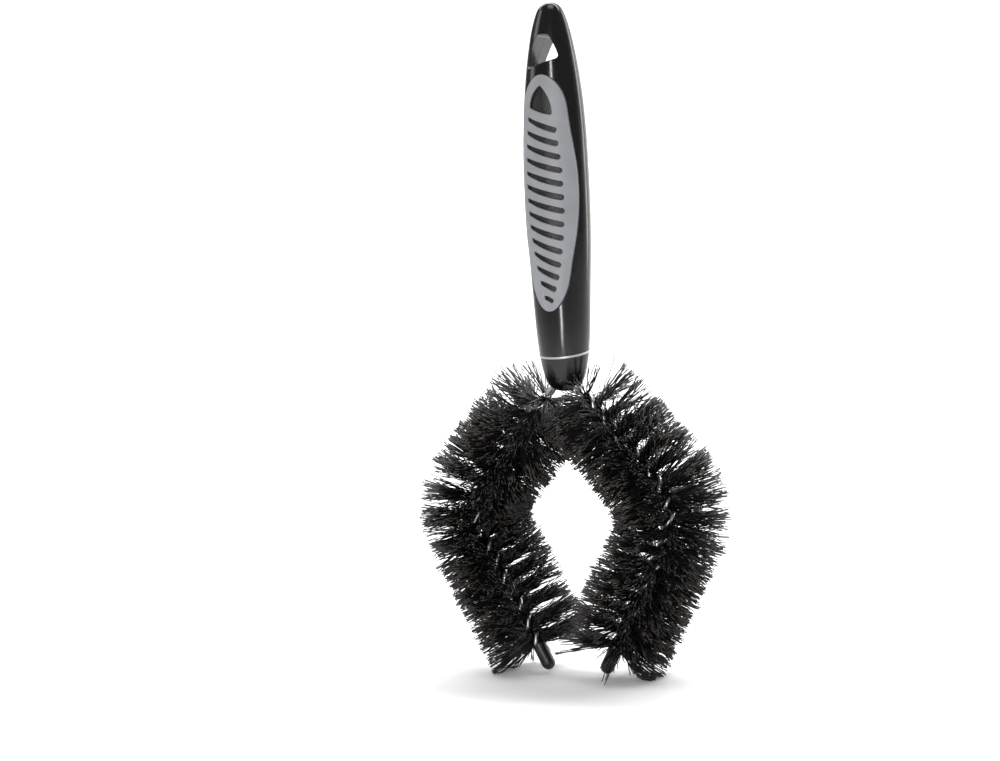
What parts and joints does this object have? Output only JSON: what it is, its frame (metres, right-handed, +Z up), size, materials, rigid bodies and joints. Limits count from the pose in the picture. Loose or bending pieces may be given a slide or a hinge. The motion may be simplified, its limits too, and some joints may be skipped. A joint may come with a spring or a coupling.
{
  "type": "two-prong twisted-wire cleaning brush",
  "caption": "Hand brush with a two-shell handle, soft grip pads, a hang hole and two bristled twisted-wire prongs bent into a diamond.",
  "frame": {"origin": "centre of the hang hole, midway between its front and back mouths", "axes": "+Z up the handle towards its butt, -Y out of the face with the long slotted grip pad, +X to the right seen from that face"},
  "size_m": [0.1524, 0.05, 0.3097],
  "materials": {
    "black_gloss": "gloss",
    "grey_soft_grip": "matte",
    "silver_ring": "satin",
    "steel_wire": "satin",
    "nylon_filament": "satin",
    "black_cap": "satin"
  },
  "bodies": {
    "handle": {"handle_front_shell": "black_gloss", "handle_back_shell": "black_gloss", "front_grip_pad": "grey_soft_grip", "back_grip_pad": "grey_soft_grip", "collar_ring": "silver_ring", "nose_cone": "black_gloss", "wire_pin": "steel_wire", "left_wire_root": "steel_wire", "right_wire_root": "steel_wire"},
    "left_prong": {"left_front_strand": "steel_wire", "left_back_strand": "steel_wire", "left_upper_bristles": "nylon_filament", "left_elbow_bristles": "nylon_filament", "left_lower_bristles": "nylon_filament", "left_tip_cap": "black_cap"},
    "right_prong": {"right_front_strand": "steel_wire", "right_back_strand": "steel_wire", "right_upper_bristles": "nylon_filament", "right_elbow_bristles": "nylon_filament", "right_lower_bristles": "nylon_filament", "right_tip_cap": "black_cap"}
  },
  "joints": [
    {"name": "left_prong_flex", "type": "hinge", "parent": "handle", "child": "left_prong", "pos_m": [-0.00956, 0, -0.1579], "axis": [0, 1, 0], "range_deg": [0, 6], "stiffness_Nm_per_rad": 12.7},
    {"name": "right_prong_flex", "type": "hinge", "parent": "handle", "child": "right_prong", "pos_m": [0.00956, 0, -0.1579], "axis": [0, -1, 0], "range_deg": [0, 6], "stiffness_Nm_per_rad": 12.7}
  ]
}
